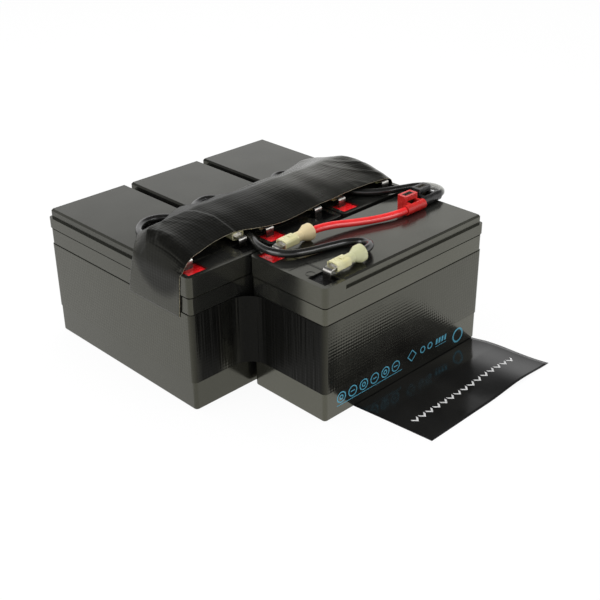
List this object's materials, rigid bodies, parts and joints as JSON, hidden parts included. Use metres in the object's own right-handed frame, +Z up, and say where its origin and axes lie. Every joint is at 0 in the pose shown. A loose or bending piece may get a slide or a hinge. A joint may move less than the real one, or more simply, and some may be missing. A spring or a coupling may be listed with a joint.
{
  "type": "UPS battery cartridge",
  "caption": "Uninterruptible power supply battery pack: four sealed lead-acid batteries wired in series, bound with black tape, with red and black leads and a pull tab.",
  "frame": {"origin": "floor level, at the middle of the footprint of the four batteries", "axes": "+Z up; +Y towards the rear of the three batteries in a row, away from the front battery; +X towards the right battery, which the front battery is flush with"},
  "size_m": [0.2082, 0.2754, 0.1075],
  "materials": {
    "case": "satin",
    "valve_rubber": "matte",
    "lead_plates": "matte",
    "tinned_brass": "satin",
    "red_epoxy": "gloss",
    "black_epoxy": "gloss",
    "yellow_nylon": "gloss",
    "red_nylon": "gloss",
    "black_nylon": "gloss",
    "red_insulation": "gloss",
    "black_insulation": "gloss",
    "black_tape": "satin",
    "black_film": "gloss"
  },
  "bodies": {
    "root": {"left_container": "case", "left_lid": "case", "left_cover": "case", "left_valve_caps": "valve_rubber", "left_cells": "lead_plates", "left_positive_tab": "tinned_brass", "left_negative_tab": "tinned_brass", "left_positive_seal": "red_epoxy", "left_negative_seal": "black_epoxy", "left_positive_faston": "yellow_nylon", "left_negative_faston": "yellow_nylon", "middle_container": "case", "middle_lid": "case", "middle_cover": "case", "middle_valve_caps": "valve_rubber", "middle_cells": "lead_plates", "middle_positive_tab": "tinned_brass", "middle_negative_tab": "tinned_brass", "middle_positive_seal": "red_epoxy", "middle_negative_seal": "black_epoxy", "middle_positive_faston": "yellow_nylon", "middle_negative_faston": "yellow_nylon", "right_container": "case", "right_lid": "case", "right_cover": "case", "right_valve_caps": "valve_rubber", "right_cells": "lead_plates", "right_positive_tab": "tinned_brass", "right_negative_tab": "tinned_brass", "right_positive_seal": "red_epoxy", "right_negative_seal": "black_epoxy", "right_positive_faston": "yellow_nylon", "right_negative_faston": "yellow_nylon", "front_container": "case", "front_lid": "case", "front_cover": "case", "front_valve_caps": "valve_rubber", "front_cells": "lead_plates", "front_positive_tab": "tinned_brass", "front_negative_tab": "tinned_brass", "front_positive_seal": "red_epoxy", "front_negative_seal": "black_epoxy", "front_positive_faston": "yellow_nylon", "front_negative_faston": "yellow_nylon", "faston_contacts": "tinned_brass", "lead_contacts": "tinned_brass", "red_connector": "red_nylon", "black_connector": "black_nylon", "red_lead": "red_insulation", "black_lead": "black_insulation", "front_to_left_wire": "black_insulation", "left_to_middle_wire": "black_insulation", "middle_to_right_wire": "black_insulation", "wrap_tape": "black_tape", "terminal_tape": "black_tape", "pull_tab": "black_film"}
  },
  "joints": []
}
